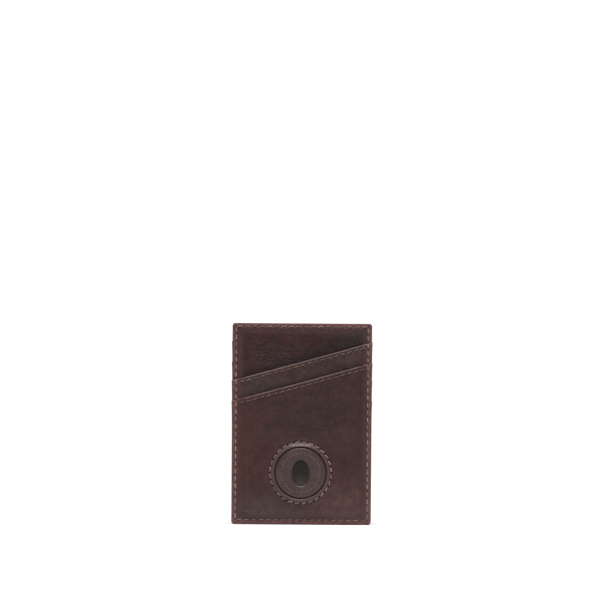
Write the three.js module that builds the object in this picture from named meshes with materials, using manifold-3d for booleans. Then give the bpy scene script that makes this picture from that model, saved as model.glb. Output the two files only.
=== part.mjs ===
// A slim card wallet: two leather faces sewn back to back, each with two slanted card pockets.
// Millimetres, +Z up, +X to the right, the front faces -Y. The origin is under the middle of the
// bottom edge. The layers are laid up outwards from the mid-plane between the two faces, so the
// shapes are made in panel coordinates: x across, z up, and depth away from the mid-plane.
import * as THREE from 'three';
import { mergeVertices } from 'three/addons/utils/BufferGeometryUtils.js';
import Module from 'manifold-3d';

const wasm = await Module();
wasm.setup();

// ---------------------------------------------------------------- driving dimensions

// What each slot holds: a bank card, put in upright.
const card = { width: 54, height: 85.6, thickness: 0.76 };
const cardSideClearance = 1.0;
const cardFaceClearance = 0.04;
const coverAboveCard = 8.0;

// Sheet thicknesses.
const bodyLeather = 0.8;
const pocketLeather = 0.7;
const lining = 0.2;

// The sewn margin is pressed flat. Inside it the leather rises over the slots.
const sideMargin = 3.0;
const bottomMargin = 3.2;
const riseWidth = 4.0;
const slotCorner = 3.0;
const topCorner = 1.3;
const bottomCorner = 1.8;

// Pocket mouths, both at one slant. The upper one's high end is measured down from the top.
const mouthAngle = 15.6;
const mouthBelowTop = 9.2;
const mouthSpacing = 10.25;

// The medallion, its window, and the patch that carries it.
const discRadius = 12.65;
const discProud = 0.2;
const discBevelWidth = 0.8;
const discBevelHeight = 0.45;
const windowClearance = 0.5;
const medallionX = -0.4;
const medallionHeight = 26.0;
const backingThickness = 0.3;
const backingBeyondSeam = 1.3;
const backingClearance = 0.3;
const windowRiseWidth = 1.5;
const inlay = { width: 8.6, height: 12.7, thickness: 0.25 };
const inlayClearance = 0.3;
const inlayRecess = 0.45;

// Seams: the thread, the groove that it lies in flush with the leather, and where each seam runs.
const threadWidth = 0.6;
const grooveDepth = 0.25;
const grooveClearance = 0.3;
const sideSeamInset = 2.0;
const bottomSeamInset = 2.15;
const topSeamInset = 1.6;
const upperMouthSeamInset = 1.75;
const lowerMouthSeamInset = 2.0;
const windowSeamBeyondWindow = 2.15;
const seamSpacing = 0.4;
const stepClearance = 0.3;

// Facets in a quarter turn of a corner, in a full circle, and up a rise in the leather.
const cornerSteps = 5;
const roundSteps = 64;
const riseSteps = 5;

// ---------------------------------------------------------------- sizes that follow

const slot = card.thickness + cardFaceClearance;
const width = card.width + 2 * (cardSideClearance + riseWidth + sideMargin);
const height = bottomMargin + riseWidth + card.height + coverAboveCard;
const mouthSlope = Math.tan(THREE.MathUtils.degToRad(mouthAngle));
const mouthCosine = Math.cos(THREE.MathUtils.degToRad(mouthAngle));
const upperMouth = height - mouthBelowTop - mouthSlope * width / 2;
const lowerMouth = upperMouth - mouthSpacing;
const windowRadius = discRadius + windowClearance;
const windowSeamRadius = windowRadius + windowSeamBeyondWindow;
const backingRadius = windowSeamRadius + backingBeyondSeam;

// The depth of each leather's outer face along the pressed margin.
const bodyDepth = lining + bodyLeather;
const upperDepth = bodyDepth + lining + pocketLeather;
const lowerDepth = upperDepth + lining + pocketLeather;

// How far each panel's middle rises above its own margin.
const bodyRise = slot / 2;
const upperRise = bodyRise + slot;
const lowerRise = upperRise + slot;

// The medallion's patch lies on the lower pocket's lining, and the leather rises over it.
const backingDepth = upperDepth + lining + lowerRise;
const discDepth = backingDepth + backingThickness;
const discThickness = pocketLeather + discProud;

// The origin is midway between the foremost and the rearmost faces.
const frontDepth = discDepth + discThickness;
const backDepth = lowerDepth + lowerRise;
const midPlane = (frontDepth - backDepth) / 2;

// Far enough to run out past the wallet on every side.
const beyond = width + height;

// ---------------------------------------------------------------- outlines

// Points on a quarter turn about (x, z). Quarter 0 runs from the right to the top.
function corner(x, z, radius, quarter) {
  const points = [];
  for (let i = 0; i <= cornerSteps; i += 1) {
    const angle = (quarter + i / cornerSteps) * Math.PI / 2;
    points.push(new THREE.Vector2(x + radius * Math.cos(angle), z + radius * Math.sin(angle)));
  }
  return points;
}

function roundedRectangle(left, right, bottom, top, bottomRadius, topRadius) {
  return [
    ...corner(left + bottomRadius, bottom + bottomRadius, bottomRadius, 2),
    ...corner(right - bottomRadius, bottom + bottomRadius, bottomRadius, 3),
    ...corner(right - topRadius, top - topRadius, topRadius, 0),
    ...corner(left + topRadius, top - topRadius, topRadius, 1),
  ];
}

function rectangle(left, right, bottom, top) {
  return [
    new THREE.Vector2(left, bottom),
    new THREE.Vector2(right, bottom),
    new THREE.Vector2(right, top),
    new THREE.Vector2(left, top),
  ];
}

function medallionEllipse(radiusX, radiusZ) {
  const points = [];
  for (let i = 0; i < roundSteps; i += 1) {
    const angle = i / roundSteps * 2 * Math.PI;
    const x = medallionX + radiusX * Math.cos(angle);
    points.push(new THREE.Vector2(x, medallionHeight + radiusZ * Math.sin(angle)));
  }
  return points;
}

function medallionCircle(radius) {
  return medallionEllipse(radius, radius);
}

// Everything under a line at the mouths' slant, given the line's height at the middle.
function underSlant(middle) {
  const climb = mouthSlope * beyond;
  return [
    new THREE.Vector2(-beyond, -beyond),
    new THREE.Vector2(beyond, -beyond),
    new THREE.Vector2(beyond, middle + climb),
    new THREE.Vector2(-beyond, middle - climb),
  ];
}

// Set in from the sides and the bottom, and running out past the top.
function openTopOutline(sideInset, bottomInset, radius) {
  const right = width / 2 - sideInset;
  return roundedRectangle(-right, right, bottomInset, height + beyond, radius, radius);
}

// ---------------------------------------------------------------- solids from outlines

function toSolid(geometry) {
  geometry.deleteAttribute('normal');
  geometry.deleteAttribute('uv');
  const merged = mergeVertices(geometry);
  return new wasm.Manifold(new wasm.Mesh({
    numProp: 3,
    vertProperties: merged.attributes.position.array,
    triVerts: Uint32Array.from(merged.index.array),
  }));
}

// A straight-sided solid over an outline, from one depth to another.
function prism(outline, fromDepth, toDepth) {
  const geometry = new THREE.ExtrudeGeometry(new THREE.Shape(outline), {
    depth: toDepth - fromDepth,
    bevelEnabled: false,
  });
  geometry.translate(0, 0, fromDepth);
  return toSolid(geometry);
}

// A solid through outlines with equal numbers of points, listed as [outline, depth] outwards.
function loft(sections) {
  const count = sections[0][0].length;
  const last = (sections.length - 1) * count;
  const positions = sections.flatMap(([outline, depth]) =>
    outline.flatMap((point) => [point.x, point.y, depth]));
  const index = [];
  for (let start = 0; start < last; start += count) {
    for (let i = 0; i < count; i += 1) {
      const a = start + i;
      const b = start + (i + 1) % count;
      index.push(a, b, b + count, a, b + count, a + count);
    }
  }
  for (const [a, b, c] of THREE.ShapeUtils.triangulateShape(sections[0][0], [])) {
    index.push(c, b, a, last + a, last + b, last + c);
  }
  const geometry = new THREE.BufferGeometry();
  geometry.setAttribute('position', new THREE.Float32BufferAttribute(positions, 3));
  geometry.setIndex(index);
  return toSolid(geometry);
}

// ---------------------------------------------------------------- formed sheets

// Outlines up a rise that starts and ends level, for a loft. `outlineAt` gives the outline at a
// share of the way in, from the foot at 0 to the head at 1.
function riseSections(outlineAt, foot, rise) {
  const sections = [[outlineAt(0), -beyond]];
  for (let i = 0; i <= riseSteps; i += 1) {
    const share = i / riseSteps;
    sections.push([outlineAt(share), foot + rise * THREE.MathUtils.smoothstep(share, 0, 1)]);
  }
  return sections;
}

function slotOutline(share) {
  const inset = riseWidth * share;
  const radius = slotCorner + riseWidth - inset;
  return openTopOutline(sideMargin + inset, bottomMargin + inset, radius);
}

function windowRiseOutline(share) {
  return medallionCircle(backingRadius + backingClearance + windowRiseWidth * (1 - share));
}

// All that lies under a panel's surface: `depth` along the margin, and `rise` more over the slots.
function underPanel(depth, rise) {
  const flat = prism(rectangle(-beyond, beyond, -beyond, beyond), -beyond, depth);
  return flat.add(loft(riseSections(slotOutline, depth, rise)));
}

// The same, with the further rise over the medallion's patch.
function underWindowPanel(depth, rise) {
  const patch = riseSections(windowRiseOutline, depth + rise, backingThickness);
  return underPanel(depth, rise).add(loft(patch));
}

// A layer of even thickness laid over such a surface.
function layer(under, depth, rise, thickness) {
  return under(depth + thickness, rise).subtract(under(depth, rise));
}

// ---------------------------------------------------------------- seams

// A seam is its route, as a solid of any half width that runs through every layer, and the
// surface that it lies in, as everything under that surface once it has been moved outwards.
function throughBand(outer, inner) {
  return prism(outer, -beyond, beyond).subtract(prism(inner, -2 * beyond, 2 * beyond));
}

const blockUnder = (middle, depth) => prism(underSlant(middle), -beyond, depth);
const perimeterTop = height - topSeamInset;

// Round both sides and the bottom, over three heights of margin, one up at each pocket's corner.
const perimeterSeam = {
  route: (half) => throughBand(
    openTopOutline(sideSeamInset - half, bottomSeamInset - half, bottomCorner),
    openTopOutline(sideSeamInset + half, bottomSeamInset + half, bottomCorner),
  ).intersect(prism(rectangle(-beyond, beyond, -beyond, perimeterTop), -beyond, beyond)),
  surface: (grow) => {
    const clear = stepClearance + grooveDepth + grow;
    return prism(rectangle(-beyond, beyond, -beyond, beyond), -beyond, bodyDepth + grow)
      .add(blockUnder(upperMouth + clear, upperDepth + grow))
      .add(blockUnder(lowerMouth + clear, lowerDepth + grow));
  },
};

// Straight across between the side seams, given its height at the middle and its slope.
function crossSeam(middle, slope, depth, rise) {
  const room = width / 2 - sideSeamInset - threadWidth - 2 * grooveClearance - seamSpacing;
  return {
    route: (half) => {
      const end = room + half;
      const up = half * Math.sqrt(1 + slope * slope);
      const outline = [
        new THREE.Vector2(-end, middle - slope * end - up),
        new THREE.Vector2(end, middle + slope * end - up),
        new THREE.Vector2(end, middle + slope * end + up),
        new THREE.Vector2(-end, middle - slope * end + up),
      ];
      return prism(outline, -beyond, beyond);
    },
    surface: (grow) => underPanel(depth + grow, rise),
  };
}

const topSeam = crossSeam(height - topSeamInset, 0, bodyDepth, bodyRise);
const upperMouthSeam = crossSeam(
  upperMouth - upperMouthSeamInset / mouthCosine, mouthSlope, upperDepth, upperRise);
const lowerMouthSeam = crossSeam(
  lowerMouth - lowerMouthSeamInset / mouthCosine, mouthSlope, lowerDepth, lowerRise);

const windowSeam = {
  route: (half) => throughBand(
    medallionCircle(windowSeamRadius + half), medallionCircle(windowSeamRadius - half)),
  surface: (grow) => underWindowPanel(lowerDepth + grow, lowerRise),
};

function threadOf(seam) {
  return seam.route(threadWidth / 2)
    .intersect(seam.surface(0).subtract(seam.surface(-grooveDepth)));
}

function grooved(panel, seams) {
  return seams.reduce((cut, seam) => {
    const wide = seam.route(threadWidth / 2 + grooveClearance);
    return cut.subtract(wide.subtract(seam.surface(-grooveDepth)));
  }, panel);
}

// ---------------------------------------------------------------- layers of one face

const walletOutline = roundedRectangle(
  -width / 2, width / 2, 0, height, bottomCorner, topCorner);
const bodyCut = prism(walletOutline, -1, beyond);
const upperCut = bodyCut.intersect(prism(underSlant(upperMouth), -beyond, beyond));
const lowerCut = bodyCut.intersect(prism(underSlant(lowerMouth), -beyond, beyond));

const bodyLiningSheet = bodyCut.intersect(layer(underPanel, 0, bodyRise, lining));
const upperLiningSheet = upperCut.intersect(layer(underPanel, bodyDepth, upperRise, lining));
const lowerLiningSheet = lowerCut.intersect(layer(underPanel, upperDepth, lowerRise, lining));
const bodyPanel = grooved(
  bodyCut.intersect(layer(underPanel, lining, bodyRise, bodyLeather)),
  [perimeterSeam, topSeam]);
const upperPocket = grooved(
  upperCut.intersect(layer(underPanel, bodyDepth + lining, upperRise, pocketLeather)),
  [perimeterSeam, upperMouthSeam]);
const lowerPocket = grooved(
  lowerCut.intersect(layer(underPanel, upperDepth + lining, lowerRise, pocketLeather)),
  [perimeterSeam, lowerMouthSeam]);
const windowPocket = grooved(
  lowerCut.intersect(layer(underWindowPanel, upperDepth + lining, lowerRise, pocketLeather)),
  [perimeterSeam, lowerMouthSeam, windowSeam],
).subtract(prism(medallionCircle(windowRadius), -beyond, beyond));

// ---------------------------------------------------------------- medallion

function makeDisc() {
  const profile = [
    new THREE.Vector2(0, 0),
    new THREE.Vector2(discRadius, 0),
    new THREE.Vector2(discRadius, discThickness - discBevelHeight),
    new THREE.Vector2(discRadius - discBevelWidth, discThickness),
    new THREE.Vector2(0, discThickness),
  ];
  const geometry = new THREE.LatheGeometry(profile, roundSteps);
  geometry.rotateX(Math.PI / 2);
  geometry.translate(medallionX, medallionHeight, discDepth);
  const recess = medallionEllipse(
    inlay.width / 2 + inlayClearance, inlay.height / 2 + inlayClearance);
  const floor = discDepth + discThickness - inlayRecess;
  return toSolid(geometry).subtract(prism(recess, floor, beyond));
}

function makeInlay() {
  const floor = discDepth + discThickness - inlayRecess;
  return prism(medallionEllipse(inlay.width / 2, inlay.height / 2), floor, floor + inlay.thickness);
}

function makeBacking() {
  return prism(medallionCircle(backingRadius), backingDepth, discDepth);
}

// ---------------------------------------------------------------- the wallet

const materials = {
  leather: () => new THREE.MeshStandardMaterial({ color: 0x44302d, roughness: 0.5, metalness: 0 }),
  medallion: () => new THREE.MeshStandardMaterial({ color: 0x4a3431, roughness: 0.45, metalness: 0 }),
  inlay: () => new THREE.MeshStandardMaterial({ color: 0x1c1413, roughness: 0.5, metalness: 0 }),
  lining: () => new THREE.MeshStandardMaterial({ color: 0x2a2220, roughness: 0.85, metalness: 0 }),
  thread: () => new THREE.MeshStandardMaterial({ color: 0x8a7668, roughness: 0.7, metalness: 0 }),
};

const wallet = new THREE.Group();

// Turns panel coordinates into the wallet's own. The back is the front turned about +Z.
function place(name, solid, side, material) {
  const mesh = solid.getMesh();
  const turn = side === 'front' ? 1 : -1;
  const positions = new Float32Array(mesh.numVert * 3);
  for (let i = 0; i < mesh.numVert; i += 1) {
    const [x, z, depth] = mesh.vertProperties.subarray(i * mesh.numProp, i * mesh.numProp + 3);
    positions[i * 3] = turn * x;
    positions[i * 3 + 1] = midPlane - turn * depth;
    positions[i * 3 + 2] = z;
  }
  const geometry = new THREE.BufferGeometry();
  geometry.setAttribute('position', new THREE.BufferAttribute(positions, 3));
  geometry.setIndex(new THREE.BufferAttribute(Uint32Array.from(mesh.triVerts), 1));
  geometry.computeVertexNormals();
  const piece = new THREE.Mesh(geometry, material());
  piece.name = name;
  wallet.add(piece);
}

for (const side of ['front', 'back']) {
  place(`${side}_body_lining`, bodyLiningSheet, side, materials.lining);
  place(`${side}_body_panel`, bodyPanel, side, materials.leather);
  place(`${side}_upper_pocket_lining`, upperLiningSheet, side, materials.lining);
  place(`${side}_upper_pocket`, upperPocket, side, materials.leather);
  place(`${side}_lower_pocket_lining`, lowerLiningSheet, side, materials.lining);
  place(`perimeter_thread_${side}`, threadOf(perimeterSeam), side, materials.thread);
  place(`${side}_top_thread`, threadOf(topSeam), side, materials.thread);
  place(`${side}_upper_mouth_thread`, threadOf(upperMouthSeam), side, materials.thread);
  place(`${side}_lower_mouth_thread`, threadOf(lowerMouthSeam), side, materials.thread);
}
place('front_lower_pocket', windowPocket, 'front', materials.leather);
place('back_lower_pocket', lowerPocket, 'back', materials.leather);
place('medallion_backing', makeBacking(), 'front', materials.leather);
place('medallion_disc', makeDisc(), 'front', materials.medallion);
place('medallion_inlay', makeInlay(), 'front', materials.inlay);
place('window_thread', threadOf(windowSeam), 'front', materials.thread);

export default wallet;
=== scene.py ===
import math
import random

import bmesh
import bpy
import numpy as np
from mathutils import Matrix, Vector


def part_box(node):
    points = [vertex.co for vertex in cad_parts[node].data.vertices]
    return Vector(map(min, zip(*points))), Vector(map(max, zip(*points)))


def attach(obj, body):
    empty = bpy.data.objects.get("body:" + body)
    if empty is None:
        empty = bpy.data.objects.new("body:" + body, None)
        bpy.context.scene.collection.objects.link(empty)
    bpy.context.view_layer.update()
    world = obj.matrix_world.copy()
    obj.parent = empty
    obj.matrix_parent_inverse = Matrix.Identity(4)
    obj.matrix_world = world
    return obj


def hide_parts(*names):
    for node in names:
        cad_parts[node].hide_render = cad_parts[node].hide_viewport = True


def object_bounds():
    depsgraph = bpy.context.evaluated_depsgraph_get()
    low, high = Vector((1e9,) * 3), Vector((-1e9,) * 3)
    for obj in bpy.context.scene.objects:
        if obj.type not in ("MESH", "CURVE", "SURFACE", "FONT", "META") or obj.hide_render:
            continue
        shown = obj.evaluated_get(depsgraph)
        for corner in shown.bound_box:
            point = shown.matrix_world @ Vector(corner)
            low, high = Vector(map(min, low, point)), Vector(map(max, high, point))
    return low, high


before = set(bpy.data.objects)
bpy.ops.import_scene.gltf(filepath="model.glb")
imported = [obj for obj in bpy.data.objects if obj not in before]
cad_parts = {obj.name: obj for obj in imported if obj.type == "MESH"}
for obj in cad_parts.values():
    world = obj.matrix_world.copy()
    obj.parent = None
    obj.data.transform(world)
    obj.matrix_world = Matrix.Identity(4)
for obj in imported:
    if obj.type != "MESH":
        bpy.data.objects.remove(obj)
cad_low, cad_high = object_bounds()

# The wallet is laid up from its mid-plane outwards, so leather, cloth and stitches are shaped in
# panel millimetres: x across, z up, and depth outwards. Only the last step turns them to metres.
MM = 0.001


# ------------------------------------------------------------------ sizes from the frame

def corners(node):
    low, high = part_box(node)
    return low / MM, high / MM


MID_PLANE = corners("front_body_lining")[1].y
HALF_WIDTH = corners("front_body_panel")[1].x
HEIGHT = corners("front_body_panel")[1].z


def inner_depth(node):
    """How far a front layer's inner face lies from the mid-plane along the sewn margin."""
    return MID_PLANE - corners(node)[1].y


# The inner and outer depth of each layer where it is pressed flat and sewn.
MARGIN = {
    "body_cloth": (0, inner_depth("front_body_panel")),
    "body": (inner_depth("front_body_panel"), inner_depth("front_upper_pocket_lining")),
    "upper_cloth": (
        inner_depth("front_upper_pocket_lining"), inner_depth("front_upper_pocket")),
    "upper": (inner_depth("front_upper_pocket"), inner_depth("front_lower_pocket_lining")),
    "lower_cloth": (
        inner_depth("front_lower_pocket_lining"), inner_depth("front_lower_pocket")),
    "lower": (
        inner_depth("front_lower_pocket"), MID_PLANE - corners("perimeter_thread_front")[0].y),
}
# Which pocket covers the foot of which, and the CAD node of each layer without its side.
COVER_OF = {"body": "upper", "upper": "lower"}
NODES = {
    "body_cloth": "body_lining", "body": "body_panel",
    "upper_cloth": "upper_pocket_lining", "upper": "upper_pocket",
    "lower_cloth": "lower_pocket_lining", "lower": "lower_pocket",
}


def rise_of(layer):
    return corners("back_" + NODES[layer])[1].y - MID_PLANE - MARGIN[layer][1]


# How far each layer lifts over its slot, bellies out, and gapes at its mouth. The gape eases off
# over its length below the mouth.
RISE = {"body": rise_of("body"), "upper": rise_of("upper"), "lower": rise_of("lower")}
BELLY = {"body": 0.04, "upper": 0.10, "lower": 0.18}
GAPE = {"body": 0.0, "upper": 0.12, "lower": 0.24}
GAPE_LENGTH = 12
RIPPLE = 0.05

THREAD_WIDTH = 0.6
# The bottom row of stitches sits a little over its thread's line, and the ring a little outside.
BOTTOM_SEAM_LIFT = 0.2
WINDOW_SEAM_OUT = 0.12
SIDE_SEAM = corners("perimeter_thread_front")[1].x - THREAD_WIDTH / 2
BOTTOM_SEAM = corners("perimeter_thread_front")[0].z + THREAD_WIDTH / 2 + BOTTOM_SEAM_LIFT
TOP_SEAM = corners("front_top_thread")[1].z - THREAD_WIDTH / 2

disc_low, disc_high = corners("medallion_disc")
DISC_X = (disc_low.x + disc_high.x) / 2
DISC_Z = (disc_low.z + disc_high.z) / 2
DISC_RADIUS = (disc_high.x - disc_low.x) / 2
DISC_BACK = MID_PLANE - disc_high.y
DISC_FRONT = MID_PLANE - disc_low.y
WINDOW_CLEARANCE = 0.5
WINDOW_RADIUS = DISC_RADIUS + WINDOW_CLEARANCE
WINDOW_SEAM = corners("window_thread")[1].x - DISC_X - THREAD_WIDTH / 2 + WINDOW_SEAM_OUT
PATCH_RADIUS = corners("medallion_backing")[1].x - DISC_X
PATCH_THICKNESS = corners("medallion_backing")[1].y - corners("medallion_backing")[0].y

# The formed leather: a flat margin, then a rise over the slots.
SIDE_MARGIN = 3.0
BOTTOM_MARGIN = 3.2
RISE_WIDTH = 4.0
SLOT_CORNER = 7.0
BOTTOM_CORNER = 1.9
TOP_CORNER = 1.4

# The patch holds the front's lower pocket flat out to the first radius, and not past the second.
HELD_RADIUS, FREE_RADIUS = 18, 38

# The pocket mouths slant up to the right, with a slight bow. Each has a seam below it, which
# stops short of the sides, and corners that flare out at the sides.
MOUTH_SLOPE = math.tan(math.radians(15.6))
SLANT = math.hypot(1, MOUTH_SLOPE)
MOUTH_BOW = 0.22
MOUTH_HIGH = {
    "upper": corners("front_upper_pocket")[1].z,
    "lower": corners("front_lower_pocket")[1].z,
}
MOUTH_SEAM = {"upper": 1.75, "lower": 2.0}
MOUTH_SEAM_SHORT = 1.1
FLARE = 0.3
FLARE_LENGTH = 6.0
FLARE_REACH = 5

# How far the leather's face sinks or rises by its lips, seams and edges, each with its width.
LIP_DROP = {"body": 0.12, "upper": 0.36, "lower": 0.36}
LIP_WIDTH = 0.5
LIP_BEAD, LIP_BEAD_BELOW, LIP_BEAD_WIDTH = 0.05, 0.85, 0.4
SEAM_SINK, SEAM_WIDTH = 0.18, 0.6
EDGE_DROP, EDGE_WIDTH = 0.16, 0.6
HOLE_SINK, HOLE_WIDTH = 0.34, 0.42
# The same round the window: its rolled rim, the fall into the gap, and the ring of stitches.
ROLL_RISE, ROLL_OUT, ROLL_WIDTH = 0.62, 0.42, 0.95
ROLL_DROP, ROLL_DROP_WIDTH = 0.5, 0.32
RING_SINK, RING_WIDTH = 0.20, 0.55

# How far the needle holes are pulled open, from 0 to 1.
SIDE_PULL, TOP_PULL, MOUTH_PULL, WINDOW_PULL = 0.55, 0.6, 0.4, 1.0

SIDE_STITCHES = 26
CROSS_STITCHES = 18
MOUTH_STITCHES = 19
WINDOW_STITCHES = 28


def mouth(pocket, x):
    """The height of a pocket's mouth across the wallet."""
    across = x / HALF_WIDTH
    return MOUTH_HIGH[pocket] - MOUTH_SLOPE * (HALF_WIDTH - x) - MOUTH_BOW * (1 - across ** 2)


def smooth(value, low, high):
    share = np.clip((value - low) / (high - low), 0, 1)
    return share * share * (3 - 2 * share)


def bump(distance, width):
    return np.exp(-(distance / width) ** 2)


# ------------------------------------------------------------------ needle holes

def spaced(start, end, count):
    """The holes of a straight seam with that many stitches, both ends included."""
    share = np.linspace(0, 1, count + 1)[:, None]
    return np.array(start) * (1 - share) + np.array(end) * share


def perimeter_holes():
    left = spaced((-SIDE_SEAM, TOP_SEAM), (-SIDE_SEAM, BOTTOM_SEAM), SIDE_STITCHES)
    bottom = spaced((-SIDE_SEAM, BOTTOM_SEAM), (SIDE_SEAM, BOTTOM_SEAM), CROSS_STITCHES)
    right = spaced((SIDE_SEAM, BOTTOM_SEAM), (SIDE_SEAM, TOP_SEAM), SIDE_STITCHES)
    return np.vstack([left, bottom[1:], right[1:]])


def top_holes():
    return spaced((-SIDE_SEAM, TOP_SEAM), (SIDE_SEAM, TOP_SEAM), CROSS_STITCHES)


def mouth_holes(pocket):
    reach = SIDE_SEAM - MOUTH_SEAM_SHORT
    x = np.linspace(-reach, reach, MOUTH_STITCHES + 1)
    return np.column_stack([x, mouth(pocket, x) - MOUTH_SEAM[pocket] * SLANT])


def window_holes():
    turn = np.linspace(0, 2 * math.pi, WINDOW_STITCHES + 1)
    return np.column_stack(
        [DISC_X + WINDOW_SEAM * np.cos(turn), DISC_Z + WINDOW_SEAM * np.sin(turn)])


def near_holes(x, z, holes, width):
    """How far into a needle hole each point is, from 0 to 1."""
    found = np.zeros_like(x)
    for hole_x, hole_z, pulled in holes:
        distance = np.hypot(x - hole_x, z - hole_z)
        close = distance < 3 * width
        found[close] = np.maximum(found[close], pulled * bump(distance[close], width))
    return found


# ------------------------------------------------------------------ how the layers lie

def edge_distance(x, z):
    """How far in from the wallet's sides, bottom and top each point is."""
    return np.minimum(np.minimum(HALF_WIDTH - abs(x), z), HEIGHT - z)


def slot_share(x, z):
    """0 on the flat margin and 1 over the slots, which run out at the top."""
    over_x = abs(x) - (HALF_WIDTH - SIDE_MARGIN - SLOT_CORNER)
    over_z = BOTTOM_MARGIN + SLOT_CORNER - z
    outside = np.hypot(np.maximum(over_x, 0), np.maximum(over_z, 0))
    inside = np.minimum(np.maximum(over_x, over_z), 0)
    return smooth(SLOT_CORNER - outside - inside, 0, RISE_WIDTH)


def window_distance(x, z):
    return np.hypot(x - DISC_X, z - DISC_Z)


def ripple(x, z, seed):
    """A slow unevenness in the lie of the leather, within about 1 either way."""
    broad = np.sin(0.21 * x + 0.13 * z + seed) * np.sin(0.17 * z - 0.05 * x + 2 * seed)
    close = np.sin(0.43 * x - 0.29 * z + 3 * seed) * np.sin(0.37 * z + 0.11 * x + seed)
    return 0.65 * broad + 0.35 * close


class Layer:
    """One sheet of the wallet, leather or cloth, on the front or the back."""

    def __init__(self, side, name, seed):
        self.side = side
        self.name = name
        self.pocket = name.split("_")[0]
        self.seed = seed
        self.window = side == "front" and name == "lower"
        self.node = f"{side}_{NODES[name]}"

    def lie(self, face, x, z):
        """The depth of the layer's plain inner (0) or outer (1) face."""
        share = slot_share(x, z)
        free = share
        if self.side == "front" and self.pocket == "lower":
            free = share * smooth(window_distance(x, z), HELD_RADIUS, FREE_RADIUS)
        dome = free * np.cos(np.clip(x / (HALF_WIDTH - 1), -1, 1) * math.pi / 2)
        depth = MARGIN[self.name][face] + RISE[self.pocket] * share
        depth = depth + BELLY[self.pocket] * dome + RIPPLE * free * ripple(x, z, self.seed)
        if self.pocket in MOUTH_HIGH:
            below = np.maximum(mouth(self.pocket, x) - z, 0)
            depth = depth + GAPE[self.pocket] * dome * bump(below, GAPE_LENGTH)
        return depth

    def holes(self):
        """The needle holes through the layer: where each is, and how far it is pulled open."""
        found = [(perimeter_holes(), SIDE_PULL)]
        if self.pocket == "body":
            found.append((top_holes(), TOP_PULL))
        else:
            found.append((mouth_holes(self.pocket), MOUTH_PULL))
        if self.window:
            found.append((window_holes(), WINDOW_PULL))
        return np.vstack([np.insert(holes, 2, pulled, axis=1) for holes, pulled in found])

    def below_top(self, x, z):
        """How far below the layer's own top edge each point is."""
        if self.pocket == "body":
            return HEIGHT - z
        return (mouth(self.pocket, x) - z) / SLANT

    def shown(self, x, z):
        """0 where the next pocket covers this layer."""
        if self.pocket not in COVER_OF:
            return np.ones_like(x)
        return smooth(z - mouth(COVER_OF[self.pocket], x), -1.5, -0.5)

    def inner(self, x, z):
        depth = self.lie(0, x, z)
        if self.window:
            patch = smooth(window_distance(x, z), PATCH_RADIUS + 0.2, PATCH_RADIUS + 1.8)
            depth = depth + PATCH_THICKNESS * (1 - patch)
        return depth

    def seam_distance(self, x, z):
        """How far from the nearest line of stitching each point is."""
        side = np.hypot(abs(x) - SIDE_SEAM, np.maximum(BOTTOM_SEAM - z, 0))
        bottom = np.hypot(z - BOTTOM_SEAM, np.maximum(abs(x) - SIDE_SEAM, 0))
        distance = np.minimum(side, bottom)
        below = self.below_top(x, z)
        if self.pocket == "body":
            top = np.hypot(z - TOP_SEAM, np.maximum(abs(x) - SIDE_SEAM, 0))
            return np.minimum(distance, top)
        line = np.hypot(
            below - MOUTH_SEAM[self.pocket], np.maximum(abs(x) - SIDE_SEAM + 1, 0))
        return np.minimum(distance, line)

    def outer(self, x, z, holed=True):
        """The depth of the outer face with its seams, rounded edges and needle holes."""
        below = np.maximum(self.below_top(x, z), 0)
        relief = -LIP_DROP[self.pocket] * bump(below, LIP_WIDTH)
        if self.pocket in MOUTH_HIGH:
            relief = relief + LIP_BEAD * bump(below - LIP_BEAD_BELOW, LIP_BEAD_WIDTH)
        relief = relief - SEAM_SINK * bump(self.seam_distance(x, z), SEAM_WIDTH)
        relief = relief - EDGE_DROP * bump(np.maximum(edge_distance(x, z), 0), EDGE_WIDTH)
        if self.window:
            radius = window_distance(x, z)
            patch = smooth(radius, PATCH_RADIUS - 0.8, PATCH_RADIUS + 1.4)
            relief = relief + PATCH_THICKNESS * (1 - patch)
            into = radius - WINDOW_RADIUS
            relief = relief + ROLL_RISE * bump(np.maximum(into - ROLL_OUT, 0), ROLL_WIDTH)
            relief = relief - ROLL_DROP * bump(np.maximum(into, 0), ROLL_DROP_WIDTH)
            relief = relief - RING_SINK * bump(radius - WINDOW_SEAM, RING_WIDTH)
        if holed:
            relief = relief - HOLE_SINK * near_holes(x, z, self.holes(), HOLE_WIDTH)
        return self.lie(1, x, z) + relief * self.shown(x, z)

    def outline(self, x, z):
        """Rounds the corners, and lets a pocket's top corners stand out at the sides."""
        x, z = x.copy(), z.copy()
        for radius, up in ((BOTTOM_CORNER, False), (TOP_CORNER, True)):
            a = (abs(x) - HALF_WIDTH) / radius + 1
            b = (z - HEIGHT if up else -z) / radius + 1
            here = (a > 0) & (b > 0)
            a, b = a[here], b[here]
            ring = np.maximum(a, b)
            turn = math.pi / 4 * np.minimum(a, b) / ring
            wide = a >= b
            new_a = ring * np.where(wide, np.cos(turn), np.sin(turn))
            new_b = ring * np.where(wide, np.sin(turn), np.cos(turn))
            x[here] = np.sign(x[here]) * (HALF_WIDTH + radius * (new_a - 1))
            z[here] = (HEIGHT if up else 0) + (1 if up else -1) * radius * (new_b - 1)
        if self.pocket in MOUTH_HIGH:
            below = np.maximum(mouth(self.pocket, x) - z, 0)
            near_side = smooth(abs(x), HALF_WIDTH - FLARE_REACH, HALF_WIDTH)
            x += np.sign(x) * FLARE * near_side * np.exp(-below / FLARE_LENGTH)
        return x, z


# ------------------------------------------------------------------ sheets to meshes

def to_world(side, x, z, depth):
    turn = 1 if side == "front" else -1
    return np.column_stack([turn * x, MID_PLANE - turn * depth, z]) * MM


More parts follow.
